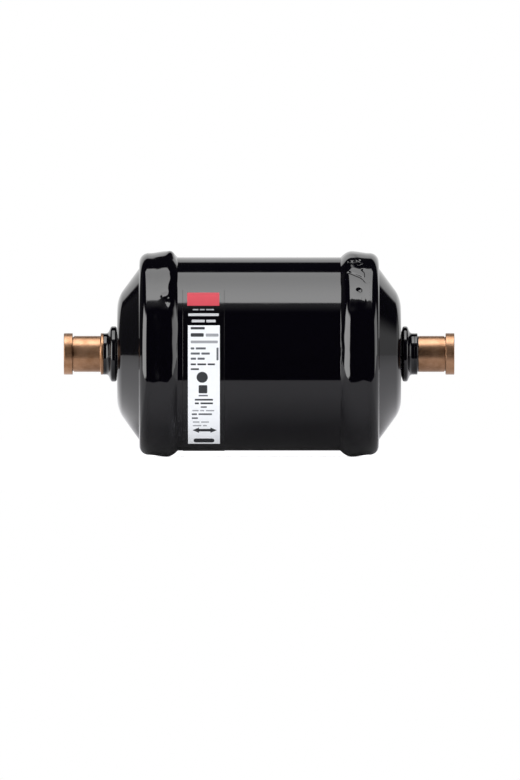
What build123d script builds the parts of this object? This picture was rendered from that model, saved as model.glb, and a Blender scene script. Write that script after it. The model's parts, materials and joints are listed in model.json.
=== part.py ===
from build123d import *
from math import radians, tan
import os

# Bi-flow hermetic filter drier. The flow axis is X, the label faces -Y, and the
# origin is on the axis, midway between the two mouths. "x" below is a distance
# outward from the middle, and the left side is the mirror of such a piece.
# All sizes are in millimetres and all angles in degrees.

# Shell: a plain length of tube
shell_od = 76.1
shell_wall = 2.0
shell_length = 87.0

# End caps: pressed sheet that slips over the tube
cap_wall = 1.6
cap_fit = 0.05
cap_corner_r = 3.6
cap_skirt_lap = 7.2
cap_rim_width = 5.9
cap_cone_angle = 53.7
cap_cone_depth = 8.7
cap_end_corner_r = 11.0

# Weld run round each skirt edge
bead_leg = 4.3
bead_rise = 0.75
bead_crest_width = 2.6
bead_crest_shift = 0.5
bead_lap = 4.2

# Turned steel neck with a relieved flange
neck_wall = 1.8
neck_height = 5.4
neck_relief = 0.35
neck_foot_width = 1.2
neck_flange_lap = 2.75
neck_flange_thick = 1.9
neck_edge = 0.55
neck_sweep_depth = 1.15
neck_sweep_foot = 0.55

# Turned copper stub: spigot in the neck, socket for the line at the mouth
spigot_r = 6.3
spigot_wall = 1.0
braze_gap = 0.05
stub_shoulder = 1.1
stub_length = 15.6
socket_r = 6.4
socket_wall = 0.665
socket_depth = 10.0
mouth_collar_rise = 0.8
mouth_collar_length = 3.46
mouth_chamfer = 0.3

# Film label
label_thick = 0.15
label_width = 16.4
label_gap = 2.0
label_top_angle = 41.0
label_wrap_angle = 136.0

# Valve plate
plate_thick = 1.5
plate_fit = 0.15
plate_rim_wall = 1.1
plate_rim_depth = 5.0
plate_bend = 1.2
outlet_port_r = 7.5
inlet_port_depth = 5.5
inlet_port_width = 6.0
inlet_port_count = 10

# Inlet ring and outlet disc, the two sliding valves
ring_thick = 0.8
ring_lift = 2.0
ring_guide_gap = 0.4
ring_cover_in = 2.65
ring_cover_out = 1.25
disc_thick = 0.8
disc_lift = 2.5
disc_cover = 1.7
disc_guide_gap = 0.4
stop_gap = 0.05

# Outlet cage: two crossed straps with feet
cage_wall = 0.8
cage_strap_width = 6.0
cage_foot = 4.0

# Core seat and gasket
seat_wall = 0.8
seat_lip_depth = 3.0
seat_land = 6.3
gasket_thick = 1.0
gasket_inset = 0.1

# Core, mat, screen and spring
core_flow_gap = 8.55
core_fit = 0.2
mat_thick = 0.95
mat_fit = 0.05
screen_wall = 0.6
screen_step = 0.4
screen_end_gap = 0.3
screen_slot_length = 18.5
screen_slot_width = 3.0
screen_slot_bridge = 4.0
screen_slot_count = 6
spring_length = 14.0
spring_strip_thick = 1.6
spring_strip_width = 1.8
spring_turn_count = 2.0
spring_foot_gap = 4.1
spring_taper = 5.0

# Radii and places that follow
shell_r = shell_od / 2
shell_bore_r = shell_r - shell_wall
tube_end_x = shell_length / 2
cap_skirt_r = shell_r + cap_fit
cap_r = cap_skirt_r + cap_wall
shoulder_x = tube_end_x + cap_corner_r
ledge_x = shoulder_x - cap_wall
skirt_edge_x = tube_end_x - cap_skirt_lap
cap_end_x = shoulder_x + cap_cone_depth
cap_end_inner_x = cap_end_x - cap_wall
crease_r = cap_r - cap_rim_width

spigot_hole_r = spigot_r + braze_gap
neck_r = spigot_hole_r + neck_wall
neck_end_x = cap_end_x + neck_height
neck_flange_r = neck_r + neck_flange_lap
stub_bore_r = spigot_r - spigot_wall
stub_r = socket_r + socket_wall
mouth_x = neck_end_x + stub_length

plate_r = shell_bore_r - plate_fit
disc_r = outlet_port_r + disc_cover
cage_guide_r = disc_r + disc_guide_gap
cage_leg_r = cage_guide_r + cage_wall
cage_foot_r = cage_leg_r + cage_foot
cage_top = disc_thick + disc_lift + stop_gap

core_r = shell_bore_r - core_flow_gap
seat_bore_r = core_r + core_fit
seat_r = seat_bore_r + seat_wall
seat_step_r = core_r - seat_land
seat_floor = ring_thick + ring_lift + stop_gap
seat_depth = seat_floor + seat_wall
ring_bore_r = seat_step_r + ring_guide_gap
inlet_pitch_r = ring_bore_r + ring_cover_in + inlet_port_depth / 2
ring_r = inlet_pitch_r + inlet_port_depth / 2 + ring_cover_out

screen_bore_r = outlet_port_r + screen_step
screen_r = screen_bore_r + screen_wall
core_bore_r = screen_r + mat_fit + mat_thick

# The left valve plate sits on its cap's ledge, and the spring pushes the right one
# inward from its cap, so the core fills what the two stacks leave.
left_face_x = ledge_x
right_face_x = cap_end_inner_x - spring_length
stack = plate_thick + seat_depth + gasket_thick
left_core_x = left_face_x - stack
right_core_x = right_face_x - stack
core_length = left_core_x + right_core_x
core_middle_x = (right_core_x - left_core_x) / 2


def spun(outline, rounds=()):
    # closed outline of (x, radius) corners, some of them rounded, turned about X
    face = make_face(Polyline(*outline, close=True))
    for corner, radius in rounds:
        nearest = face.vertices().sort_by_distance((*outline[corner], 0))[0]
        face = fillet(nearest, radius)
    return revolve(face, Axis.X)


def ring(x_from, x_to, bore_r, outer_r):
    return spun([(x_from, bore_r), (x_to, bore_r), (x_to, outer_r), (x_from, outer_r)])


def around(count, piece):
    # copies of a piece, evenly spaced about the flow axis
    return [Rot(X=360 * turn / count) * piece for turn in range(count)]


def shell_tube():
    return ring(-tube_end_x, tube_end_x, shell_bore_r, shell_r)


def end_cap():
    # skirt, rounded shoulder, rim face, cone and flat end, all one sheet
    inner_shift = cap_wall * tan(radians((90 - cap_cone_angle) / 2))
    end_r = crease_r - cap_cone_depth * tan(radians(cap_cone_angle))
    outline = [
        (skirt_edge_x, cap_skirt_r), (ledge_x, cap_skirt_r),
        (ledge_x, crease_r - inner_shift), (cap_end_inner_x, end_r - inner_shift),
        (cap_end_inner_x, spigot_hole_r), (cap_end_x, spigot_hole_r),
        (cap_end_x, end_r), (shoulder_x, crease_r),
        (shoulder_x, cap_r), (skirt_edge_x, cap_r),
    ]
    return spun(outline, [(6, cap_end_corner_r), (8, cap_corner_r)])


def weld_bead():
    # a convex run that laps from the tube over the skirt edge
    crest_x = skirt_edge_x + bead_crest_shift
    crest_r = cap_r + bead_rise
    return spun([
        (skirt_edge_x - bead_leg, shell_r), (skirt_edge_x, shell_r), (skirt_edge_x, cap_r),
        (skirt_edge_x + bead_lap, cap_r), (crest_x + bead_crest_width / 2, crest_r),
        (crest_x - bead_crest_width / 2, crest_r),
    ])


def weld_neck():
    # foot on the cap, relieved flange, a sweep down to the collar
    rim_x = cap_end_x + neck_relief
    face_x = rim_x + neck_flange_thick
    sweep_x = face_x + neck_sweep_depth
    foot_r = neck_r + neck_foot_width
    outline = [
        (cap_end_x, spigot_hole_r), (neck_end_x, spigot_hole_r),
        (neck_end_x, neck_r), (sweep_x, neck_r),
        (face_x + neck_sweep_foot, neck_r + neck_sweep_foot),
        (face_x, neck_flange_r - neck_edge), (face_x - neck_edge, neck_flange_r),
        (rim_x, neck_flange_r), (rim_x, foot_r), (cap_end_x, foot_r),
    ]
    return spun(outline)


def copper_stub():
    # spigot flush with the inside of the cap, shoulder, tube and mouth collar
    shoulder_end_x = neck_end_x + stub_shoulder
    collar_x = mouth_x - mouth_collar_length
    stop_x = mouth_x - socket_depth
    collar_r = stub_r + mouth_collar_rise
    outline = [
        (cap_end_inner_x, stub_bore_r), (stop_x, stub_bore_r), (stop_x, socket_r),
        (mouth_x - mouth_chamfer, socket_r), (mouth_x, socket_r + mouth_chamfer),
        (mouth_x, collar_r), (collar_x, collar_r), (collar_x, stub_r),
        (shoulder_end_x, stub_r), (shoulder_end_x, neck_r), (neck_end_x, neck_r),
        (neck_end_x, spigot_r), (cap_end_inner_x, spigot_r),
    ]
    return spun(outline)


def label():
    # a strip wrapped on the front of the tube, beside the left weld
    left_x = label_gap - (skirt_edge_x - bead_leg)
    strip = Pos(left_x, shell_r, 0) * Rectangle(label_width, label_thick, align=Align.MIN)
    start = Rot(X=180 - label_top_angle) * strip
    return revolve(start, Axis.X, label_wrap_angle)


def valve_plate(face_x):
    # pressed plate: outer face at face_x, rim turned inward, slots round the centre port
    inner_x = face_x - plate_thick
    rim_x = inner_x - plate_rim_depth
    rim_bore_r = plate_r - plate_rim_wall
    plate = spun([
        (inner_x, outlet_port_r), (face_x, outlet_port_r), (face_x, plate_r - plate_bend),
        (face_x - plate_bend, plate_r), (rim_x, plate_r), (rim_x, rim_bore_r),
        (inner_x, rim_bore_r),
    ])
    slot = Box(2 * plate_thick, inlet_port_depth, inlet_port_width)
    return plate - around(inlet_port_count, Pos(inner_x, inlet_pitch_r, 0) * slot)


def inlet_ring(face_x):
    inner_x = face_x - plate_thick
    return ring(inner_x - ring_thick, inner_x, ring_bore_r, ring_r)


def outlet_disc(face_x):
    disc = Cylinder(disc_r, disc_thick, align=(Align.CENTER, Align.CENTER, Align.MIN))
    return Pos(face_x, 0, 0) * Rot(Y=90) * disc


def outlet_cage(face_x):
    # two crossed straps: four legs guide the disc, their crown stops it
    top_x = face_x + cage_top
    strap = make_face(Polyline(
        (face_x, cage_foot_r), (face_x, cage_guide_r), (top_x, cage_guide_r),
        (top_x, -cage_guide_r), (face_x, -cage_guide_r), (face_x, -cage_foot_r),
        (face_x + cage_wall, -cage_foot_r), (face_x + cage_wall, -cage_leg_r),
        (top_x + cage_wall, -cage_leg_r), (top_x + cage_wall, cage_leg_r),
        (face_x + cage_wall, cage_leg_r), (face_x + cage_wall, cage_foot_r), close=True,
    ))
    strap = extrude(strap, cage_strap_width / 2, both=True)
    return strap + Rot(X=90) * strap


def core_seat(face_x):
    # pressed cup: centre disc on the plate, a step that guides the inlet ring, a floor
    # that stops it, and a lip that centres the core
    inner_x = face_x - plate_thick
    floor_x = inner_x - seat_floor
    back_x = inner_x - seat_depth
    step_bore_r = seat_step_r - seat_wall
    return spun([
        (inner_x, outlet_port_r), (inner_x, seat_step_r), (floor_x, seat_step_r),
        (floor_x, seat_r), (back_x - seat_lip_depth, seat_r),
        (back_x - seat_lip_depth, seat_bore_r), (back_x, seat_bore_r),
        (back_x, step_bore_r), (inner_x - seat_wall, step_bore_r),
        (inner_x - seat_wall, outlet_port_r),
    ])


def core_gasket(face_x):
    back_x = face_x - plate_thick - seat_depth
    inner_r = seat_step_r - seat_wall + gasket_inset
    return ring(back_x - gasket_thick, back_x, inner_r, core_r - gasket_inset)


def desiccant_core():
    half = core_length / 2
    return Pos(core_middle_x, 0, 0) * ring(-half, half, core_bore_r, core_r)


def filter_mat():
    half = core_length / 2
    return Pos(core_middle_x, 0, 0) * ring(-half, half, screen_r + mat_fit, core_bore_r)


def screen_tube():
    # stands on the left core seat and reaches the right one, round the centre ports
    left_x = seat_wall + plate_thick - left_face_x
    right_x = right_face_x - plate_thick - seat_wall - screen_end_gap
    tube = ring(left_x, right_x, screen_bore_r, screen_r)
    pitch = screen_slot_length + screen_slot_bridge
    rows = int((core_length - screen_slot_bridge) / pitch)
    slot = Box(screen_slot_length, screen_r, screen_slot_width)
    for row in range(rows):
        row_x = core_middle_x + (row - (rows - 1) / 2) * pitch
        tube -= around(screen_slot_count, Pos(row_x, screen_r, 0) * slot)
    return tube


def core_spring():
    # conical spring of flat wire, wide end on the right valve plate
    plate_coil_r = cage_foot_r + spring_foot_gap + spring_strip_width / 2
    rise = spring_length - spring_strip_thick
    slope = Vector(spring_taper, rise).get_angle(Vector(0, 1))
    coil = Helix(rise / spring_turn_count, rise, plate_coil_r, cone_angle=-slope)
    section = Plane(origin=coil @ 0, x_dir=(0, 0, 1), z_dir=coil % 0)
    strip = section * Rectangle(spring_strip_thick, spring_strip_width)
    spring = sweep(strip, path=coil, is_frenet=True)
    return Pos(right_face_x + spring_strip_thick / 2, 0, 0) * Rot(Y=90) * spring


def sides(name, outward):
    # the same piece at both ends, the left one mirrored
    return {f"left_{name}": mirror(outward, Plane.YZ), f"right_{name}": outward}


def cartridge(name, make):
    # valve pieces stand at each valve plate's own place
    return {
        f"left_{name}": mirror(make(left_face_x), Plane.YZ),
        f"right_{name}": make(right_face_x),
    }


pieces = {"shell_tube": shell_tube(), "label": label()}
pieces |= sides("end_cap", end_cap())
pieces |= sides("weld_bead", weld_bead())
pieces |= sides("weld_neck", weld_neck())
pieces |= sides("copper_stub", copper_stub())
for make in (valve_plate, inlet_ring, outlet_disc, outlet_cage, core_seat, core_gasket):
    pieces |= cartridge(make.__name__, make)
pieces |= {
    "desiccant_core": desiccant_core(),
    "filter_mat": filter_mat(),
    "screen_tube": screen_tube(),
    "core_spring": core_spring(),
}

for node, solid in pieces.items():
    export_step(solid, f"parts/{node}.step")
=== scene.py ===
import json
import math
import random

import bmesh
import bpy
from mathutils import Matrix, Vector, noise


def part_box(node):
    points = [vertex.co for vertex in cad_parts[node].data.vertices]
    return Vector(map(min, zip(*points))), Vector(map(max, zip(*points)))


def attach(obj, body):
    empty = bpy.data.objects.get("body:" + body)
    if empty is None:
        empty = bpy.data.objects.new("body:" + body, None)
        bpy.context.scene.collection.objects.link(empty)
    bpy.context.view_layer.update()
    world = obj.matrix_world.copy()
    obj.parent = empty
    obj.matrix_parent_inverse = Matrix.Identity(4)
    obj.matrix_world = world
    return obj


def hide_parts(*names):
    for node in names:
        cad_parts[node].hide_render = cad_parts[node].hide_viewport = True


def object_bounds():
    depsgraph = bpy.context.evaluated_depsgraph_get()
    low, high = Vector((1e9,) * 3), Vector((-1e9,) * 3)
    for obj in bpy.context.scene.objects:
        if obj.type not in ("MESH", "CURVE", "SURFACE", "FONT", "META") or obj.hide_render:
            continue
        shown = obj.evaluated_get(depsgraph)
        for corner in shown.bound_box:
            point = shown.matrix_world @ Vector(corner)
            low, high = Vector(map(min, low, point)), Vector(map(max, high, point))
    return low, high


# Looks of a bi-flow filter drier. The flow axis is X and the label faces -Y. Sizes in the
# dictionaries are in millimetres, places on the axis are counted outward from its middle,
# and angles are in degrees about it, from the front (0) over the top (90).
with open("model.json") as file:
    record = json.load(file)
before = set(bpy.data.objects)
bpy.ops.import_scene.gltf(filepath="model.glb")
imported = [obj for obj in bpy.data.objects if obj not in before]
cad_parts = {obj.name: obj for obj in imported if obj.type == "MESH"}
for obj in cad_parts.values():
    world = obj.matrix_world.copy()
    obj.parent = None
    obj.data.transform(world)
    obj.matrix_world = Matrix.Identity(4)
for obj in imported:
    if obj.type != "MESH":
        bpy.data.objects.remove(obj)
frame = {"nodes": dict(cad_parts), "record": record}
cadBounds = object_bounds()
mm = 0.001
print("frame loaded,", len(frame["nodes"]), "nodes")


# Small helpers

def linearColour(code):
    # sRGB hex to the linear values that shaders take
    channels = [int(code[place:place + 2], 16) / 255 for place in (1, 3, 5)]
    curve = [c / 12.92 if c <= 0.04045 else ((c + 0.055) / 1.055) ** 2.4 for c in channels]
    return (*curve, 1.0)


def addNode(tree, kind, settings=None, inputs=None):
    # a node with its settings, and values or links for its sockets
    node = tree.nodes.new("ShaderNode" + kind)
    for name, value in (settings or {}).items():
        setattr(node, name, value)
    for name, value in (inputs or {}).items():
        if isinstance(value, bpy.types.NodeSocket):
            tree.links.new(value, node.inputs[name])
        else:
            node.inputs[name].default_value = value
    return node


def socketName(word):
    # the shader's socket for an argument: baseColor stands for Base Color
    name = word[0].upper() + "".join(" " + c if c.isupper() else c for c in word[1:])
    return name.replace("I O R", "IOR")


def newMaterial(name, **values):
    # a Principled material with its plain values set on the shader itself
    material = bpy.data.materials.new(name)
    material.use_nodes = True
    shader = material.node_tree.nodes["Principled BSDF"]
    for word, value in values.items():
        shader.inputs[socketName(word)].default_value = value
    return material, material.node_tree, shader


def joinSockets(tree, shader, **outputs):
    # patterns linked to the shader: colour, roughness, normal and so on
    for word, output in outputs.items():
        tree.links.new(output, shader.inputs[socketName(word)])


def nodeSpan(node):
    # where a CAD node starts and ends on the axis, counted outward, and its radius, in mm
    low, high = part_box(node)
    ends = sorted((abs(low.x) / mm, abs(high.x) / mm))
    return ends[0], ends[1], high.z / mm


meshSizes = {
    "merge": 0.0005, "sharpAngle": 32, "degreesPerStep": 5, "fewestSteps": 3, "around": 288,
}


def finishPiece(name, bm, materials, sharpAngle=meshSizes["sharpAngle"]):
    # merged, turned outwards, smooth between its real edges, and moving with the housing
    bmesh.ops.remove_doubles(bm, verts=bm.verts, dist=meshSizes["merge"] * mm)
    bmesh.ops.recalc_face_normals(bm, faces=bm.faces)
    mesh = bpy.data.meshes.new(name)
    bm.to_mesh(mesh)
    bm.free()
    mesh.shade_smooth()
    mesh.set_sharp_from_angle(angle=math.radians(sharpAngle))
    for material in materials:
        mesh.materials.append(material)
    piece = bpy.data.objects.new(name, mesh)
    bpy.context.scene.collection.objects.link(piece)
    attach(piece, "housing")
    return piece


def turnedRing(outline, rounds, side):
    # closed outline of (x, radius) in mm, its rounded corners bevelled, spun about the axis
    bm = bmesh.new()
    corners = [bm.verts.new((side * x * mm, 0, r * mm)) for x, r in outline]
    bm.faces.new(corners)
    for place, radius in rounds.items():
        corner = Vector(outline[place])
        before = corner - Vector(outline[place - 1])
        after = Vector(outline[(place + 1) % len(outline)]) - corner
        turn = before.angle(after)
        steps = round(math.degrees(turn) / meshSizes["degreesPerStep"])
        bmesh.ops.bevel(bm, geom=[corners[place]], affect="VERTICES", profile=0.5, material=-1,
                        offset=radius * mm * math.tan(turn / 2),
                        segments=max(meshSizes["fewestSteps"], steps))
    bmesh.ops.delete(bm, geom=bm.faces[:], context="FACES_ONLY")
    bmesh.ops.spin(bm, geom=bm.verts[:] + bm.edges[:], cent=(0, 0, 0), axis=(1, 0, 0),
                   angle=math.tau, steps=meshSizes["around"], use_merge=True)
    return bm


# Finishes of the outside. Patterns lie on Object coordinates and their sizes are real ones.

enamelLook = {
    "colour": "#040308", "roughLow": 0.045, "roughHigh": 0.085, "hazeSize": 14.0,
    "hazeLow": 0.3, "hazeHigh": 0.7, "peelSize": 2.0, "peelDepth": 0.002,
}


def makeBlackEnamel():
    # Stoved black enamel on steel: a deep even black with a hard gloss, whose faint orange
    # peel, 2 mm from crest to crest, makes the edges of reflections waver a little
    s = enamelLook
    material, tree, shader = newMaterial(
        "stovedBlackEnamel", baseColor=linearColour(s["colour"]), IOR=1.5)
    place = addNode(tree, "TexCoord").outputs["Object"]
    haze = addNode(tree, "TexNoise", inputs={
        "Vector": place, "Scale": 1 / (s["hazeSize"] * mm), "Detail": 3.0})
    gloss = addNode(tree, "MapRange", inputs={
        "Value": haze.outputs["Fac"], "From Min": s["hazeLow"], "From Max": s["hazeHigh"],
        "To Min": s["roughLow"], "To Max": s["roughHigh"]})
    peel = addNode(tree, "TexNoise", inputs={
        "Vector": place, "Scale": 1 / (s["peelSize"] * mm), "Detail": 1.0})
    bump = addNode(tree, "Bump", inputs={
        "Height": peel.outputs["Fac"], "Distance": s["peelDepth"] * mm})
    joinSockets(tree, shader, roughness=gloss.outputs["Result"], normal=bump.outputs["Normal"])
    return material


copperLook = {
    "tarnished": "#8B674B", "bright": "#AC866A", "cloudSize": 5.0, "cloudLow": 0.3,
    "cloudHigh": 0.65, "lineSpacing": 0.3, "lineDepth": 0.01, "lineStrength": 0.35,
    "lineTurns": 12,  # how often the lines' pattern repeats in a metre across the axis
    "roughLow": 0.27, "roughHigh": 0.45, "dripSize": 3.0, "paintFade": 0.04, "paintRough": 0.08,
    # the dark brown painted as shade on the copper's reflections, its share, and from how far off
    # it starts
    "mirrored": "#1A1413", "reflectionShadeShare": 0.85, "reflectionShadeFrom": 13.5,
}


def makeTurnedCopper(name, paintLine, paintWave):
    # Turned copper: warm metal with fine lines round it, a few to a millimetre, faint brown
    # clouds of tarnish, and the neck's black paint running over its foot to the paint line.
    # Its reflection in the cap's enamel is painted shade: for mirrored rays that come from further
    # off than the socket is wide, its colour is darkened towards a dark brown.
    s = copperLook
    material, tree, shader = newMaterial(name)
    place = addNode(tree, "TexCoord").outputs["Object"]
    clouds = addNode(tree, "TexNoise", inputs={
        "Vector": place, "Scale": 1 / (s["cloudSize"] * mm), "Detail": 4.0, "Roughness": 0.6})
    tint = addNode(tree, "ValToRGB", inputs={"Fac": clouds.outputs["Fac"]})
    low, high = tint.color_ramp.elements
    low.position, low.color = s["cloudLow"], linearColour(s["tarnished"])
    high.position, high.color = s["cloudHigh"], linearColour(s["bright"])
    stretch = addNode(tree, "Mapping", inputs={
        "Vector": place, "Scale": (1 / (s["lineSpacing"] * mm), s["lineTurns"], s["lineTurns"])})
    lines = addNode(tree, "TexNoise", inputs={
        "Vector": stretch.outputs["Vector"], "Scale": 1.0, "Detail": 2.0})
    bump = addNode(tree, "Bump", inputs={
        "Height": lines.outputs["Fac"], "Strength": s["lineStrength"],
        "Distance": s["lineDepth"] * mm})
    wear = addNode(tree, "MapRange", inputs={
        "Value": lines.outputs["Fac"], "To Min": s["roughLow"], "To Max": s["roughHigh"]})

    # the paint's edge wanders round the foot
    along = addNode(tree, "SeparateXYZ", inputs={"Vector": place}).outputs["X"]
    outward = addNode(tree, "Math", {"operation": "ABSOLUTE"}, {0: along})
    drip = addNode(tree, "TexNoise", inputs={
        "Vector": place, "Scale": 1 / (s["dripSize"] * mm), "Detail": 2.0})
    sway = addNode(tree, "Math", {"operation": "MULTIPLY_ADD"},
                   {0: drip.outputs["Fac"], 1: -2 * paintWave * mm, 2: outward.outputs[0]})
    bare = addNode(tree, "MapRange", {"interpolation_type": "SMOOTHSTEP"},
                   {"Value": sway.outputs[0],
                    "From Min": (paintLine - paintWave - s["paintFade"]) * mm,
                    "From Max": (paintLine - paintWave + s["paintFade"]) * mm}).outputs["Result"]

    # a Mix node takes its share at 0, two numbers at 2 and 3, and two colours at 6 and 7
    colour = addNode(tree, "Mix", {"data_type": "RGBA"},
                     {0: bare, 6: linearColour(enamelLook["colour"]), 7: tint.outputs["Color"]})
    rough = addNode(tree, "Mix", inputs={0: bare, 2: s["paintRough"], 3: wear.outputs["Result"]})
    # painted shade: seen in a mirror from further off than the socket is wide, the copper is
    # darkened towards a dark brown
    rays = addNode(tree, "LightPath").outputs
    distant = addNode(tree, "Math", {"operation": "GREATER_THAN"},
                      {0: rays["Ray Length"], 1: s["reflectionShadeFrom"] * mm})
    distant = addNode(tree, "Math", {"operation": "MULTIPLY"},
                      {0: distant.outputs[0], 1: rays["Is Glossy Ray"]})
    mirrored = addNode(tree, "Math", {"operation": "MULTIPLY"},
                       {0: distant.outputs[0], 1: s["reflectionShadeShare"]})
    shown = addNode(tree, "Mix", {"data_type": "RGBA"},
                    {0: mirrored.outputs[0], 6: colour.outputs[2], 7: linearColour(s["mirrored"])})
    joinSockets(tree, shader, baseColor=shown.outputs[2], metallic=bare,
                roughness=rough.outputs[0], normal=bump.outputs["Normal"])
    return material


filmLook = {"mottleSize": 2.0, "mottle": 0.05}
inkLooks = {
    "black": ("#060509", 0.09), "red": ("#BA2A3C", 0.5), "white": ("#E9ECEF", 0.5),
    "dark": ("#26292D", 0.5), "middle": ("#585B60", 0.5), "grey": ("#96999D", 0.5),
    "pale": ("#BFC1C4", 0.5),
}


def makePrintedFilm(name, code, roughness):
    # Screen print on a polyester film: an even ink with a soft gloss, its tone uneven by a
    # few parts in a hundred over a couple of millimetres. The bare black film is glossier.
    s = filmLook
    material, tree, shader = newMaterial(name, roughness=roughness, IOR=1.5)
    place = addNode(tree, "TexCoord").outputs["Object"]
    mottle = addNode(tree, "TexNoise", inputs={
        "Vector": place, "Scale": 1 / (s["mottleSize"] * mm), "Detail": 3.0})
    tone = addNode(tree, "MapRange", inputs={
        "Value": mottle.outputs["Fac"], "To Min": 1 - s["mottle"], "To Max": 1 + s["mottle"]})
    ink = addNode(tree, "HueSaturation", inputs={
        "Color": linearColour(code), "Value": tone.outputs["Result"]})
    joinSockets(tree, shader, baseColor=ink.outputs["Color"])
    return material


blackEnamel = makeBlackEnamel()
inks = {name: makePrintedFilm("printedFilm" + name.capitalize(), *look)
        for name, look in inkLooks.items()}
print("outside finishes made")


# Shell tube

tubeSizes = {"wall": 2.0}


def makeShellTube():
    tubeEnd, tubeRadius = nodeSpan("shell_tube")[1:]
    bore = tubeRadius - tubeSizes["wall"]
    outline = [(-tubeEnd, bore), (tubeEnd, bore), (tubeEnd, tubeRadius), (-tubeEnd, tubeRadius)]
    tube = finishPiece("shellTube", turnedRing(outline, {}, 1), [blackEnamel])
    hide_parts("shell_tube")


# End caps: skirt, rounded shoulder, rim face, cone and flat end

capSizes = {
    "wall": 1.6, "cornerRadius": 3.6, "rimWidth": 5.9, "creaseRadius": 0.8,
    "coneAngle": 53.7, "coneDepth": 8.7, "endRadius": 11.0, "hole": 6.35,
}


def makeEndCap(side, sideName):
    s = capSizes
    skirtEdge, capEnd, capRadius = nodeSpan(sideName + "_end_cap")
    shoulder = capEnd - s["coneDepth"]
    crease = capRadius - s["rimWidth"]
    endEdge = crease - s["coneDepth"] * math.tan(math.radians(s["coneAngle"]))
    inset = s["wall"] * math.tan(math.radians((90 - s["coneAngle"]) / 2))
    outline = [
        (skirtEdge, capRadius - s["wall"]), (shoulder - s["wall"], capRadius - s["wall"]),
        (shoulder - s["wall"], crease - inset), (capEnd - s["wall"], endEdge - inset),
        (capEnd - s["wall"], s["hole"]), (capEnd, s["hole"]), (capEnd, endEdge),
        (shoulder, crease), (shoulder, capRadius), (skirtEdge, capRadius),
    ]
    rounds = {
        1: s["cornerRadius"] - s["wall"], 2: s["creaseRadius"] + s["wall"],
        3: s["endRadius"] - s["wall"], 6: s["endRadius"],
        7: s["creaseRadius"], 8: s["cornerRadius"],
    }
    cap = finishPiece(sideName + "EndCap", turnedRing(outline, rounds, side), [blackEnamel])
    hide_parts(sideName + "_end_cap")


# Weld beads: a run of weld from the tube over the skirt edge, under thick paint. Lumps are
# (angle, place, length round, width along, height), grooves are runs of (angle, place).

beadSizes = {
    "crest": 36.3, "lap": 43.6, "meniscus": 0.05, "margin": 0.5, "sink": 0.4,
    "toeSink": 0.02, "lapSink": 0.012, "headroom": 1.0, "slack": 0.1, "sharpAngle": 60,
    "waver": 0.07, "waverLength": 13.0, "ripple": 0.035, "rippleLength": 3.2,
    "edgeWander": 0.3, "edgeLength": 9.0, "noiseShift": 40, "edgeFade": 3,
    "across": 60, "around": 200, "hoopCuts": 3, "marksFrom": 10.0, "marksTo": 115.0,
    "grooveReach": 3, "alike": 0.001,
}
beadMarks = {
    "left": {
        "blunt": 1.9, "grooveDepth": 0.10, "grooveWidth": 0.50,
        "lumps": [
            (80, 34.3, 5.0, 1.8, 0.95), (97, 36.2, 4.0, 1.8, 0.25), (34, 37.2, 1.6, 1.3, 0.20),
            (30, 35.6, 1.8, 1.0, -0.20), (40, 34.4, 1.8, 0.9, -0.14), (47, 34.4, 2.2, 0.9, 0.12),
            (57, 34.2, 2.0, 0.8, -0.12), (64, 36.6, 3.4, 2.0, -0.12),
        ],
        "grooves": [
            [(37.5, 36.4), (36.8, 37.2), (36.2, 38.2)], [(33.5, 35.8), (32.2, 36.6), (30.4, 36.2)],
        ],
    },
    "right": {
        "blunt": 1.9, "grooveDepth": 0.36, "grooveWidth": 0.58,
        "lumps": [
            (66, 36.4, 3.4, 2.0, 0.26), (76, 37.6, 2.6, 2.0, 0.16), (38, 38.2, 2.0, 1.5, -0.12),
            (32, 39.4, 2.2, 1.6, 0.20), (31, 41.6, 1.6, 1.0, 0.12), (27, 36.4, 2.4, 1.2, -0.14),
            (58, 34.6, 2.6, 1.0, -0.12), (38.4, 39.4, 1.2, 0.9, -0.16),
        ],
        "grooves": [
            [(52.7, 35.3), (50.6, 37.5), (48.9, 40.0), (46.6, 41.8), (45.4, 42.0)],
            [(55.6, 41.0), (53.8, 41.9), (50.0, 42.2), (46.6, 41.8)],
            [(38.9, 39.0), (38.1, 39.8)], [(64.0, 35.2), (62.6, 36.6), (64.6, 38.2)],
            [(61.0, 39.0), (63.2, 40.2), (66.4, 39.4)],
        ],
    },
}


def lumpHeight(lumps, angle, place, radius):
    # all lumps and dents added up at one point of the bead
    height = 0.0
    for lumpAngle, lumpPlace, length, width, top in lumps:
        away = (angle - lumpAngle + 180) % 360 - 180
        reach = (math.radians(away) * radius / length) ** 2 + ((place - lumpPlace) / width) ** 2
        height += top * math.exp(-reach)
    return height


def grooveDistance(run, angle, place, radius):
    # how far a point of the bead lies from a groove's middle line, in mm
    here = Vector((math.radians(angle) * radius, place))
    points = [Vector((math.radians(a) * radius, x)) for a, x in run]
    nearest = math.inf
    for start, end in zip(points, points[1:]):
        line = end - start
        share = min(max((here - start).dot(line) / line.length_squared, 0), 1)
        nearest = min(nearest, (here - start - line * share).length)
    return nearest


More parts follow.
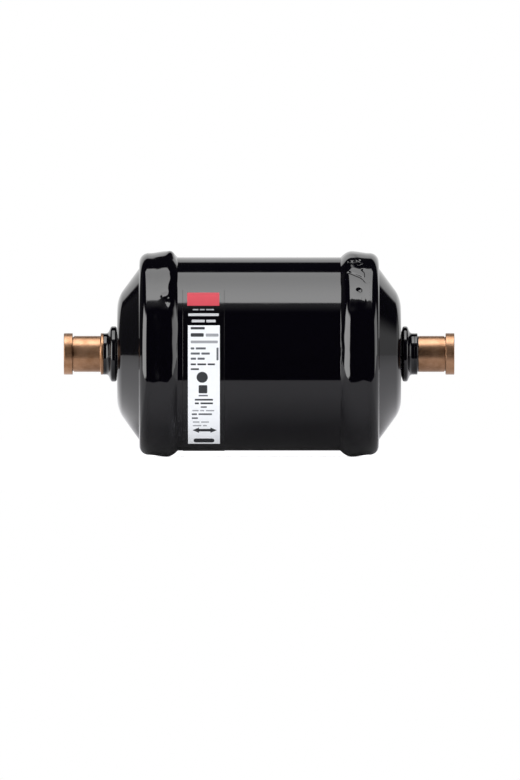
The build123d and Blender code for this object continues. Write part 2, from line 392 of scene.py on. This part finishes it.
def makeWeldBead(side, sideName):
    s = beadSizes
    marks = beadMarks[sideName]
    toe, crestRadius = nodeSpan(sideName + "_weld_bead")[::2]
    tubeRadius = nodeSpan("shell_tube")[2]
    skirtEdge, capRadius = nodeSpan(sideName + "_end_cap")[::2]

    # a band of squares, its top still a plain cylinder above the crest
    above = crestRadius + s["headroom"]
    low, high = toe - s["margin"], s["lap"] + s["margin"]
    outline = [(low, tubeRadius - s["sink"]), (high, capRadius - s["sink"]),
               (high, above), (low, above)]
    bm = bmesh.new()
    corners = [bm.verts.new((side * x * mm, 0, r * mm)) for x, r in outline]
    edges = [bm.edges.new((corners[turn - 1], corners[turn])) for turn in range(4)]
    bmesh.ops.subdivide_edges(bm, edges=[edges[3]], cuts=s["across"])
    bmesh.ops.spin(bm, geom=bm.verts[:] + bm.edges[:], cent=(0, 0, 0), axis=(1, 0, 0),
                   angle=math.tau, steps=s["around"], use_merge=True)
    alike = s["alike"] * mm
    hoops = [edge for edge in bm.edges
             if abs(edge.verts[0].co.x - edge.verts[1].co.x) < alike
             and abs(edge.verts[0].co.yz.length - edge.verts[1].co.yz.length) < alike]
    bmesh.ops.subdivide_edges(bm, edges=hoops, cuts=s["hoopCuts"])

    for vert in bm.verts:
        radius = math.hypot(vert.co.y, vert.co.z) / mm
        if radius < above - s["slack"]:
            continue
        place = side * vert.co.x / mm
        angle = math.degrees(math.atan2(vert.co.z, -vert.co.y))
        spot = vert.co / mm + Vector((side * s["noiseShift"], 0, 0))
        wander = s["edgeWander"] * noise.noise(spot / s["edgeLength"])
        if place < s["crest"]:
            # blunt flank, steepest at the toe
            share = (place - toe - wander) / (s["crest"] - toe - wander)
            ground = tubeRadius
            height = (crestRadius - tubeRadius) * (1 - (1 - share) ** marks["blunt"])
        else:
            # long soft run over the skirt
            share = (s["lap"] + wander - place) / (s["lap"] + wander - s["crest"])
            ground = capRadius
            height = (crestRadius - capRadius) * (1 - math.cos(math.pi * max(share, 0))) / 2
            height -= s["lapSink"]
        # bumps grow from nothing over the first third from either edge
        body = min(max(share, 0) * s["edgeFade"], 1)
        height += body * s["waver"] * noise.noise(spot / s["waverLength"])
        height += body * s["ripple"] * noise.noise(spot / s["rippleLength"])
        if s["marksFrom"] < angle < s["marksTo"]:
            height += body * lumpHeight(marks["lumps"], angle, place, crestRadius)
            for run in marks["grooves"]:
                gap = grooveDistance(run, angle, place, crestRadius) / marks["grooveWidth"]
                if gap < s["grooveReach"]:
                    height -= marks["grooveDepth"] * math.exp(-gap * gap)
        if place < skirtEdge:
            height = (height + math.hypot(height, s["meniscus"])) / 2 - s["toeSink"]
        vert.co.yz = vert.co.yz * ((ground + height) / radius)
    bead = finishPiece(sideName + "WeldBead", bm, [blackEnamel], s["sharpAngle"])
    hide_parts(sideName + "_weld_bead")


# Weld necks: foot, flange with a round rim, and a short collar. Each flange was turned and
# welded a little differently, so its gap to the cap and its thickness belong to its side.

neckSizes = {
    "bore": 6.35, "foot": 8.6, "footEdge": 0.08, "rimRadius": 0.85, "taper": 1.2,
    "collar": 8.15, "sweep": 1.2, "lip": 0.12,
    "left": {"gap": 0.25, "thick": 2.2}, "right": {"gap": 0.75, "thick": 1.75},
}


def makeWeldNeck(side, sideName):
    s = neckSizes
    start, end, flange = nodeSpan(sideName + "_weld_neck")
    back = start + s[sideName]["gap"]
    face = back + s[sideName]["thick"]
    outline = [
        (start, s["bore"]), (end, s["bore"]), (end, s["collar"]), (face + s["taper"], s["collar"]),
        (face, flange), (back, flange), (start + s["footEdge"], s["foot"]), (start, s["foot"]),
    ]
    rounds = {2: s["lip"], 3: s["sweep"], 4: s["rimRadius"], 5: s["rimRadius"]}
    neck = finishPiece(sideName + "WeldNeck", turnedRing(outline, rounds, side), [blackEnamel])
    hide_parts(sideName + "_weld_neck")


# Copper stubs: spigot, shoulder, tube, and the collar round the mouth. The neck's paint
# covers each as far as its own line.

stubSizes = {
    "spigot": 6.3, "bore": 5.3, "shoulderEnd": 1.1, "shoulder": 8.15, "tube": 7.065,
    "socket": 6.4, "socketDepth": 10.0, "collarLength": 3.46, "groove": 0.5, "grooveDepth": 0.35,
    "chamfer": 0.3, "edge": 0.25, "tubeFoot": 0.3, "seatEdge": 0.15,
    "left": {"paintLine": 61.25, "paintWave": 0.35},
    "right": {"paintLine": 62.75, "paintWave": 0.2},
}


def makeCopperStub(side, sideName):
    s = stubSizes
    start, mouth, collar = nodeSpan(sideName + "_copper_stub")
    neckEnd = nodeSpan(sideName + "_weld_neck")[1]
    shoulderEnd = neckEnd + s["shoulderEnd"]
    collarStart = mouth - s["collarLength"]
    grooveStart = collarStart - s["groove"]
    stop = mouth - s["socketDepth"]
    outline = [
        (start, s["bore"]), (stop, s["bore"]), (stop, s["socket"]),
        (mouth - s["chamfer"], s["socket"]), (mouth, s["socket"] + s["chamfer"]),
        (mouth, collar), (collarStart, collar), (collarStart, s["tube"] - s["grooveDepth"]),
        (grooveStart, s["tube"] - s["grooveDepth"]), (grooveStart, s["tube"]),
        (shoulderEnd, s["tube"]), (shoulderEnd, s["shoulder"]), (neckEnd, s["shoulder"]),
        (neckEnd, s["spigot"]), (start, s["spigot"]),
    ]
    rounds = {5: s["edge"], 6: s["edge"], 10: s["tubeFoot"], 11: s["edge"], 12: s["seatEdge"]}
    copper = makeTurnedCopper(sideName + "TurnedCopper", **s[sideName])
    stub = finishPiece(sideName + "CopperStub", turnedRing(outline, rounds, side), [copper])
    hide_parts(sideName + "_copper_stub")


makeShellTube()
for side, sideName in ((-1, "left"), (1, "right")):
    makeEndCap(side, sideName)
    makeWeldBead(side, sideName)
    makeWeldNeck(side, sideName)
    makeCopperStub(side, sideName)
print("shell, caps, beads, necks and stubs made")


# Label: a black film with a red block, plain bars where print would be, and a white panel.
# Fields are laid out flat, from the film's left edge and down from its top edge, and then
# wrapped round the tube. A field is (down, height, left, right), the disc and the square are
# (middle down, middle across, half size), and the arrow is (middle down, left, right, half
# head, half shaft, length of a point). Rows are (down, height, left, right, words, ink).

labelSizes = {
    "topAngle": 41.0, "wrapAngle": 136.0, "thick": 0.15, "brim": 0.12, "brimSteps": 5,
    "layer": 0.02, "inkSink": 0.01, "inkThick": 0.03, "slice": 1.0, "sharpAngle": 40,
    "redBlock": (1.43, 6.2, 1.8, 14.4), "whitePanel": (16.0, 56.0, 2.1, 14.6),
    "disc": (36.5, 7.7, 2.2), "discCorner": 2.178, "square": (41.4, 8.0, 1.7), "squareCorner": 0.4,
    "roundBar": (67.3, 3.4, 4.3, 12.4), "roundBarCorner": 1.1, "cornerSteps": 6,
    "arrow": (61.5, 3.9, 13.4, 1.65, 0.8, 2.5),
    "barShare": 0.75, "barCorner": 0.25, "wordGap": 0.6, "onlyCut": (0.25, 0.75),
    "eachCut": (0.7, 1.3),
}
labelRows = [
    (9.0, 0.7, 4.0, 12.3, 3, "grey"), (10.8, 1.5, 2.2, 14.2, 1, "pale"),
    (13.5, 1.4, 3.6, 13.0, 2, "pale"), (16.5, 1.3, 3.2, 8.7, 1, "dark"),
    (18.9, 1.9, 3.2, 8.3, 1, "dark"), (19.1, 1.6, 9.1, 14.1, 1, "grey"),
    (21.9, 1.4, 3.2, 13.8, 1, "grey"), (24.6, 1.1, 3.2, 9.1, 2, "middle"),
    (26.6, 1.1, 3.2, 10.7, 2, "middle"), (28.6, 1.1, 3.2, 8.7, 2, "middle"),
    (24.0, 6.6, 13.3, 14.1, 1, "middle"),
    (30.9, 0.9, 3.2, 12.7, 3, "dark"), (32.8, 0.9, 3.2, 6.4, 1, "dark"),
    (43.7, 0.8, 6.3, 9.9, 1, "middle"), (45.4, 1.0, 4.8, 11.9, 1, "dark"),
    (47.0, 1.0, 4.8, 11.9, 2, "dark"), (48.8, 0.8, 7.1, 9.5, 1, "dark"),
    (50.5, 0.8, 3.8, 12.4, 3, "grey"), (52.1, 1.1, 3.6, 11.5, 2, "middle"),
    (54.1, 1.1, 3.6, 6.0, 1, "middle"), (56.3, 0.9, 4.0, 10.3, 2, "grey"),
    (58.3, 0.9, 4.0, 9.5, 2, "grey"),
]
inkPlaces = {name: place for place, name in enumerate(inks)}


def inkSpan(layer):
    # the underside and the top of a layer of ink, sunk a little into the layer below it
    s = labelSizes
    base = s["thick"] + layer * s["layer"] - s["inkSink"]
    return base, base + s["inkThick"]


def addField(bm, down, height, left, right, layer, ink, corner=0.0, brim=0.0):
    # a flat block of ink, or the film itself as layer 0
    s = labelSizes
    base, top = inkSpan(layer) if layer else (0.0, s["thick"])
    verts = bmesh.ops.create_cube(bm, size=1.0)["verts"]
    bmesh.ops.scale(bm, verts=verts, vec=(right - left, height, top - base))
    bmesh.ops.translate(bm, verts=verts,
                        vec=((left + right) / 2, -down - height / 2, (top + base) / 2))
    for face in {face for vert in verts for face in vert.link_faces}:
        face.material_index = inkPlaces[ink]
    if corner:
        upright = {edge for vert in verts for edge in vert.link_edges
                   if abs(edge.verts[0].co.z - edge.verts[1].co.z) > (top - base) / 2}
        bmesh.ops.bevel(bm, geom=list(upright), offset=corner, affect="EDGES",
                        segments=s["cornerSteps"], profile=0.5, material=-1)
    if brim:
        # the film's long edges are rounded over and catch the side lights
        long = {edge for vert in verts for edge in vert.link_edges
                if abs(edge.verts[0].co.y - edge.verts[1].co.y) > height / 2
                and min(edge.verts[0].co.z, edge.verts[1].co.z) > (top + base) / 2}
        bmesh.ops.bevel(bm, geom=list(long), offset=brim, affect="EDGES",
                        segments=s["brimSteps"], profile=0.5, material=-1)


def addArrow(bm, middle, left, right, head, shaft, point, layer, ink):
    # an arrow with a head at each end, pulled up into a block of ink
    base, top = inkSpan(layer)
    half = [(left, 0), (left + point, head), (left + point, shaft), (right - point, shaft),
            (right - point, head), (right, 0)]
    outline = half + [(x, -y) for x, y in reversed(half[1:-1])]
    face = bm.faces.new([bm.verts.new((x, y - middle, base)) for x, y in outline])
    face.material_index = inkPlaces[ink]
    pulled = bmesh.ops.extrude_face_region(bm, geom=[face], use_keep_orig=True)["geom"]
    raised = [item for item in pulled if isinstance(item, bmesh.types.BMVert)]
    bmesh.ops.translate(bm, verts=raised, vec=(0, 0, top - base))


def addRow(bm, down, height, left, right, words, ink):
    # a row of print as plain bars of uneven length, thinner than the row
    s = labelSizes
    down += height * (1 - s["barShare"]) / 2
    height *= s["barShare"]
    cuts = sorted(random.uniform(*s["onlyCut"]) if words == 2
                  else (turn + random.uniform(*s["eachCut"])) / words
                  for turn in range(words - 1))
    gap = s["wordGap"] / (right - left)
    starts = [0.0] + [cut + gap / 2 for cut in cuts]
    ends = [cut - gap / 2 for cut in cuts] + [1.0]
    for start, end in zip(starts, ends):
        addField(bm, down, height, left + start * (right - left), left + end * (right - left),
                 2, ink, s["barCorner"] * min(height, right - left))


def makeLabel():
    s = labelSizes
    low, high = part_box("label")
    filmLeft, filmWidth = low.x / mm, (high.x - low.x) / mm
    tubeRadius = nodeSpan("shell_tube")[2]
    filmLength = math.radians(s["wrapAngle"]) * tubeRadius
    bm = bmesh.new()
    addField(bm, 0, filmLength, 0, filmWidth, 0, "black", brim=s["brim"])
    addField(bm, *s["redBlock"], 1, "red")
    addField(bm, *s["whitePanel"], 1, "white")
    random.seed(7)
    for row in labelRows:
        addRow(bm, *row)
    for shape in ("disc", "square"):
        down, across, half = s[shape]
        addField(bm, down - half, 2 * half, across - half, across + half, 2, "dark",
                 s[shape + "Corner"])
    addField(bm, *s["roundBar"], 2, "dark", s["roundBarCorner"])
    addArrow(bm, *s["arrow"], 2, "dark")
    for turn in range(1, int(filmLength / s["slice"])):
        # sliced across, so that it bends with the tube
        bmesh.ops.bisect_plane(bm, geom=bm.verts[:] + bm.edges[:] + bm.faces[:],
                               plane_co=(0, -turn * s["slice"], 0), plane_no=(0, 1, 0))
    for vert in bm.verts:
        x, y, z = vert.co
        angle = math.radians(s["topAngle"]) + y / tubeRadius
        radius = tubeRadius + z
        vert.co = Vector((filmLeft + x, -radius * math.cos(angle), radius * math.sin(angle))) * mm
    film = finishPiece("labelFilm", bm, inks.values(), s["sharpAngle"])
    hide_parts("label")


makeLabel()
print("label made")


# Finishes of the inside, for the CAD nodes that stay

sieveLook = {"bead": "#D8CDB8", "hollowShade": "#8D8069", "beadSize": 1.2, "beadDepth": 0.25}


def makeSieveBlock():
    # Moulded block of molecular sieve and alumina: pale buff beads, 1.2 mm across, bound together,
    # so the face is matt and grainy, with painted shade darkening the hollows between them
    s = sieveLook
    material, tree, shader = newMaterial("mouldedSieveBlock", roughness=0.9, IOR=1.45)
    place = addNode(tree, "TexCoord").outputs["Object"]
    beads = addNode(tree, "TexVoronoi", inputs={
        "Vector": place, "Scale": 1 / (s["beadSize"] * mm)}).outputs["Distance"]
    # painted shade: each bead's colour darkens towards its edge, into the hollows between the beads
    tint = addNode(tree, "ValToRGB", inputs={"Fac": beads})
    for element, code in zip(tint.color_ramp.elements, (s["bead"], s["hollowShade"])):
        element.color = linearColour(code)
    bump = addNode(tree, "Bump", inputs={
        "Height": beads, "Strength": 0.8, "Distance": -s["beadDepth"] * mm})
    joinSockets(tree, shader, baseColor=tint.outputs["Color"], normal=bump.outputs["Normal"])
    return material


feltLook = {
    "shade": "#B9B5A8", "fibre": "#F1EEE4", "fibreLength": 4.0, "fibreWidth": 0.4, "dent": 0.2,
}


def makeNeedledFibre():
    # Needled polyester: off-white felt with fibres laid along the bore and soft dents
    s = feltLook
    material, tree, shader = newMaterial(
        "needledPolyesterFelt", roughness=0.95, IOR=1.45, sheenWeight=0.3)
    place = addNode(tree, "TexCoord").outputs["Object"]
    across = 1 / (s["fibreWidth"] * mm)
    stretch = addNode(tree, "Mapping", inputs={
        "Vector": place, "Scale": (1 / (s["fibreLength"] * mm), across, across)})
    fibres = addNode(tree, "TexNoise", inputs={
        "Vector": stretch.outputs["Vector"], "Scale": 1.0, "Detail": 5.0}).outputs["Fac"]
    tint = addNode(tree, "ValToRGB", inputs={"Fac": fibres})
    for element, code in zip(tint.color_ramp.elements, (s["shade"], s["fibre"])):
        element.color = linearColour(code)
    bump = addNode(tree, "Bump", inputs={
        "Height": fibres, "Strength": 0.6, "Distance": s["dent"] * mm})
    joinSockets(tree, shader, baseColor=tint.outputs["Color"], normal=bump.outputs["Normal"])
    return material


# grain is how often the pattern repeats in a metre along each axis
acrossFace = (40, 1 / (0.4 * mm), 30)
alongWire = (30, 30, 1 / (0.3 * mm))
metalLook = {"patchSize": 6.0, "patchLow": 0.35, "patchHigh": 0.65, "roughSpread": 0.08,
             "grainDepth": 0.02}


def makeBrushedMetal(name, darkCode, lightCode, roughness, grain):
    # Steel with a grain across its face: zinc plated strip has soft blue-grey patches,
    # drawn wire is darker with long die lines, and valve strip is bright and finely rolled
    s = metalLook
    material, tree, shader = newMaterial(name, metallic=1.0)
    place = addNode(tree, "TexCoord").outputs["Object"]
    patches = addNode(tree, "TexNoise", inputs={
        "Vector": place, "Scale": 1 / (s["patchSize"] * mm), "Detail": 4.0})
    tint = addNode(tree, "ValToRGB", inputs={"Fac": patches.outputs["Fac"]})
    low, high = tint.color_ramp.elements
    low.position, low.color = s["patchLow"], linearColour(darkCode)
    high.position, high.color = s["patchHigh"], linearColour(lightCode)
    stretch = addNode(tree, "Mapping", inputs={"Vector": place, "Scale": grain})
    lines = addNode(tree, "TexNoise", inputs={
        "Vector": stretch.outputs["Vector"], "Scale": 1.0, "Detail": 3.0}).outputs["Fac"]
    rough = addNode(tree, "MapRange", inputs={
        "Value": lines, "To Min": roughness - s["roughSpread"],
        "To Max": roughness + s["roughSpread"]})
    bump = addNode(tree, "Bump", inputs={
        "Height": lines, "Strength": 0.3, "Distance": s["grainDepth"] * mm})
    joinSockets(tree, shader, baseColor=tint.outputs["Color"],
                roughness=rough.outputs["Result"], normal=bump.outputs["Normal"])
    return material


rubberLook = {"dark": "#111112", "light": "#2B2B2D", "grainSize": 0.5, "grainDepth": 0.05}


def makeNitrileRubber():
    # Moulded nitrile rubber: near black and dull, with a fine mould grain of 0.5 mm
    s = rubberLook
    material, tree, shader = newMaterial("mouldedNitrileRubber", roughness=0.7, IOR=1.52)
    place = addNode(tree, "TexCoord").outputs["Object"]
    grain = addNode(tree, "TexNoise", inputs={
        "Vector": place, "Scale": 1 / (s["grainSize"] * mm), "Detail": 2.0}).outputs["Fac"]
    tint = addNode(tree, "ValToRGB", inputs={"Fac": grain})
    for element, code in zip(tint.color_ramp.elements, (s["dark"], s["light"])):
        element.color = linearColour(code)
    bump = addNode(tree, "Bump", inputs={
        "Height": grain, "Strength": 0.4, "Distance": s["grainDepth"] * mm})
    joinSockets(tree, shader, baseColor=tint.outputs["Color"], normal=bump.outputs["Normal"])
    return material


insideFinishes = {
    "sieve_block": makeSieveBlock(),
    "fibre_mat": makeNeedledFibre(),
    "plated_steel": makeBrushedMetal("zincPlatedSteel", "#9C9FA3", "#C9CCD0", 0.38, acrossFace),
    "spring_steel": makeBrushedMetal("drawnSpringSteel", "#5E5F62", "#8C8D90", 0.34, alongWire),
    "valve_steel": makeBrushedMetal("rolledValveSteel", "#B9BABD", "#DADBDD", 0.24, acrossFace),
    "gasket_rubber": makeNitrileRubber(),
}
for part in frame["record"]["subparts"]:
    if part["material_slot"] in insideFinishes:
        node = frame["nodes"][part["node"]]
        node.data.materials.clear()
        node.data.materials.append(insideFinishes[part["material_slot"]])
print("inside finishes made")


# Studio: the paint mirrors it, so the world holds what stands round the object: a softbox
# overhead with a faint glow in front of it, light strips at the sides, a white backdrop
# behind and a dark room in front. Angles are in degrees, brightness 1 is white, and a fade is
# how far a soft edge reaches to each side.

studio = {
    "ambient": 0.6, "room": 0.012,
    "softboxFrom": 63.5, "softboxTo": 114.5, "softboxFront": 5.8, "softboxBack": 2.8,
    "softboxHalf": 0.35, "frontFade": 0.8, "backFade": 1.0, "endFade": 0.02,
    "glow": 0.35, "glowFrom": 50.0, "glowFade": 1.0, "glowEndFade": 0.1,
    "backdrop": 1.0, "backdropEdge": 0.787, "backdropTilt": 0.020, "backdropFade": 0.02,
    "turnFade": 3.0, "lowFade": 2.0, "highFade": 4.0,
}
# side lights: which side, brightness, turned from and to, lowest and highest
sideLights = [
    (-1, 6.4, 25.0, 74.0, -25.0, 42.0), (1, 2.9, 62.0, 100.0, -25.0, 30.0),
    (-1, 0.04, 90.0, 138.0, -30.0, 40.0), (1, 0.50, 104.0, 138.0, -30.0, 12.0),
]


def makeWorld():
    s = studio
    world = bpy.data.worlds.new("studioWorld")
    world.use_nodes = True
    bpy.context.scene.world = world
    tree = world.node_tree
    tree.nodes.clear()
    direction = addNode(tree, "TexCoord").outputs["Generated"]
    x, y, z = addNode(tree, "SeparateXYZ", inputs={"Vector": direction}).outputs
    sideways = addNode(tree, "Math", {"operation": "ABSOLUTE"}, {0: x}).outputs[0]
    forward = addNode(tree, "Math", {"operation": "MULTIPLY"}, {0: y, 1: -1.0}).outputs[0]

    # over is the angle from the viewer's side up and over, turn to the right, rise above level
    over, turn = (addNode(tree, "Math", {"operation": "ARCTAN2"}, {0: up, 1: forward}).outputs[0]
                  for up in (z, x))
    rise = addNode(tree, "Math", {"operation": "ARCSINE"}, {0: z}).outputs[0]
    over, turn, rise = (addNode(tree, "Math", {"operation": "DEGREES"}, {0: angle}).outputs[0]
                        for angle in (over, turn, rise))
    leftTurn = addNode(tree, "Math", {"operation": "MULTIPLY"}, {0: turn, 1: -1.0}).outputs[0]
    turns = {1: turn, -1: leftTurn}

    # the backdrop starts a little further back on the left
    tilted = addNode(tree, "Math", {"operation": "MULTIPLY_ADD"},
                     {0: x, 1: s["backdropTilt"], 2: y}).outputs[0]

    # each light is its brightness times its soft edges, which are (value, start, end, what
    # the light is before the start, and what it is after the end)
    lights = [
        (1.0, [(over, s["softboxFrom"] - s["frontFade"], s["softboxFrom"] + s["frontFade"], 0, 1),
               (over, s["softboxTo"] + s["backFade"], s["softboxTo"] - s["backFade"], 0, 1),
               (sideways, s["softboxHalf"] + s["endFade"], s["softboxHalf"] - s["endFade"], 0, 1),
               (over, s["softboxFrom"], s["softboxTo"], s["softboxFront"], s["softboxBack"])]),
        (s["glow"], [(over, s["glowFrom"], s["softboxFrom"], 0, 1),
                     (over, s["softboxFrom"] + s["glowFade"], s["softboxFrom"], 0, 1),
                     (sideways, s["softboxHalf"] + s["glowEndFade"],
                      s["softboxHalf"] - s["glowEndFade"], 0, 1)]),
        (s["backdrop"], [(tilted, s["backdropEdge"] - s["backdropFade"],
                          s["backdropEdge"] + s["backdropFade"], 0, 1)]),
    ]
    for side, brightness, near, far, low, high in sideLights:
        lights.append((brightness, [
            (turns[side], near - s["turnFade"], near + s["turnFade"], 0, 1),
            (turns[side], far + s["turnFade"], far - s["turnFade"], 0, 1),
            (rise, low - s["lowFade"], low + s["lowFade"], 0, 1),
            (rise, high + s["highFade"], high - s["highFade"], 0, 1)]))
    total = s["room"]
    for brightness, edges in lights:
        product = brightness
        for value, start, end, low, high in edges:
            edge = addNode(tree, "MapRange", {"interpolation_type": "SMOOTHSTEP"},
                           {"Value": value, "From Min": start, "From Max": end,
                            "To Min": low, "To Max": high})
            product = addNode(tree, "Math", {"operation": "MULTIPLY"},
                              {0: product, 1: edge.outputs["Result"]}).outputs[0]
        total = addNode(tree, "Math", {"operation": "ADD"}, {0: total, 1: product}).outputs[0]

    # mirrored rays see the studio, the camera and clear materials see white, the rest is even
    rays = addNode(tree, "LightPath").outputs
    seen = addNode(tree, "Math", {"operation": "MAXIMUM"},
                   {0: rays["Is Camera Ray"], 1: rays["Is Transmission Ray"]})
    mirrored, soft, white = (
        addNode(tree, "Background", inputs={"Color": (1, 1, 1, 1), "Strength": strength})
        for strength in (total, s["ambient"], 1.0))
    lit = addNode(tree, "MixShader", inputs={
        0: rays["Is Glossy Ray"], 1: soft.outputs[0], 2: mirrored.outputs[0]})
    shown = addNode(tree, "MixShader", inputs={
        0: seen.outputs[0], 1: lit.outputs[0], 2: white.outputs[0]})
    addNode(tree, "OutputWorld", inputs={"Surface": shown.outputs[0]})


floorSizes = {
    "half": 3000.0, "front": 85.0, "lift": 0.54, "colour": "#E6E5E9",
    "paintedGlowLeft": 0.5, "paintedGlowRight": 0.22, "glowFrom": 60.0, "glowTo": 80.0,
}


def makeFloor():
    # A white table under the object. The paint mirrors it up to its front edge, with a painted glow
    # to the sides that only mirrored rays see; seen directly it runs on as plain white that keeps
    # the shadow.
    # From below it is clear, so that the object's underside can be looked at.
    s = floorSizes
    bm = bmesh.new()
    bmesh.ops.create_grid(bm, x_segments=1, y_segments=1, size=s["half"] * mm)
    bmesh.ops.translate(bm, verts=bm.verts, vec=(0, 0, cadBounds[0][2]))
    mesh = bpy.data.meshes.new("floor")
    bm.to_mesh(mesh)
    bm.free()
    floor = bpy.data.objects.new("floor", mesh)
    bpy.context.scene.collection.objects.link(floor)

    material = bpy.data.materials.new("whiteTable")
    material.use_nodes = True
    tree = material.node_tree
    tree.nodes.clear()
    rays = addNode(tree, "LightPath").outputs
    position = addNode(tree, "TexCoord").outputs["Object"]
    place = addNode(tree, "SeparateXYZ", inputs={"Vector": position}).outputs
    # painted glow: the table shines brighter to the left and right, seen only by mirrored rays
    left, right = (
        addNode(tree, "MapRange", {"interpolation_type": "SMOOTHSTEP"},
                {"Value": place["X"], "From Min": s["glowFrom"] * mm * side,
                 "From Max": s["glowTo"] * mm * side, "To Max": glow}).outputs[0]
        for side, glow in ((-1, s["paintedGlowLeft"]), (1, s["paintedGlowRight"])))
    paintedSideGlow = addNode(tree, "Math", {"operation": "ADD"}, {0: left, 1: right})
    paintedSideGlow = addNode(tree, "Math", {"operation": "MULTIPLY"},
                     {0: paintedSideGlow.outputs[0], 1: rays["Is Glossy Ray"]})
    plain = addNode(tree, "Math", {"operation": "MAXIMUM"},
                    {0: rays["Is Camera Ray"], 1: rays["Is Diffuse Ray"]})
    lift = addNode(tree, "Math", {"operation": "MULTIPLY_ADD"},
                   {0: plain.outputs[0], 1: s["lift"], 2: paintedSideGlow.outputs[0]})
    cloth = addNode(tree, "BsdfDiffuse", inputs={"Color": linearColour(s["colour"])})
    shine = addNode(tree, "Emission", inputs={"Color": (1, 1, 1, 1), "Strength": lift.outputs[0]})
    table = addNode(tree, "AddShader", inputs={0: cloth.outputs[0], 1: shine.outputs[0]})
    beyond = addNode(tree, "Math", {"operation": "LESS_THAN"}, {0: place["Y"], 1: -s["front"] * mm})
    gone = addNode(tree, "Math", {"operation": "MULTIPLY"},
                   {0: beyond.outputs[0], 1: rays["Is Glossy Ray"]})
    backfacing = addNode(tree, "NewGeometry").outputs["Backfacing"]
    under = addNode(tree, "Math", {"operation": "MULTIPLY"},
                    {0: backfacing, 1: rays["Is Camera Ray"]})
    unseen = addNode(tree, "Math", {"operation": "MAXIMUM"},
                     {0: gone.outputs[0], 1: under.outputs[0]})
    clear = addNode(tree, "BsdfTransparent")
    mixed = addNode(tree, "MixShader", inputs={
        0: unseen.outputs[0], 1: table.outputs[0], 2: clear.outputs[0]})
    addNode(tree, "OutputMaterial", inputs={"Surface": mixed.outputs[0]})
    floor.data.materials.append(material)


# places and sizes of the lamps are in metres
lampSizes = {
    "overhead": {"place": (0.0, -0.05, 0.65), "size": 0.55, "watts": 2.3},
    "front": {"place": (0.0, -1.2, 0.15), "size": 1.0, "watts": 4.9},
}


def makeLamps():
    # soft lamps for what isn't a mirror: the label, the copper's tarnish and the floor
    for name, s in lampSizes.items():
        lamp = bpy.data.lights.new(name + "Lamp", "AREA")
        lamp.size = s["size"]
        lamp.energy = s["watts"]
        holder = bpy.data.objects.new(name + "Lamp", lamp)
        holder.location = s["place"]
        holder.rotation_euler = (-Vector(s["place"])).to_track_quat("-Z", "Y").to_euler()
        holder.visible_glossy = False
        bpy.context.scene.collection.objects.link(holder)


cameraSizes = {
    "distance": 9000.0, "across": 0.35, "height": -14.2, "frameHeight": 306.9, "sensor": 36.0,
}


def makeCamera():
    # square on to the label's side and level, from far off
    s = cameraSizes
    camera = bpy.data.cameras.new("camera")
    camera.sensor_fit = "VERTICAL"
    camera.sensor_height = s["sensor"]
    camera.lens = s["sensor"] * s["distance"] / s["frameHeight"]
    holder = bpy.data.objects.new("camera", camera)
    holder.location = (s["across"] * mm, -s["distance"] * mm, s["height"] * mm)
    holder.rotation_euler = (math.radians(90), 0, 0)
    bpy.context.scene.collection.objects.link(holder)
    bpy.context.scene.camera = holder


makeWorld()
makeFloor()
makeLamps()
makeCamera()
bpy.context.scene.view_settings.view_transform = "Standard"
print("studio made")
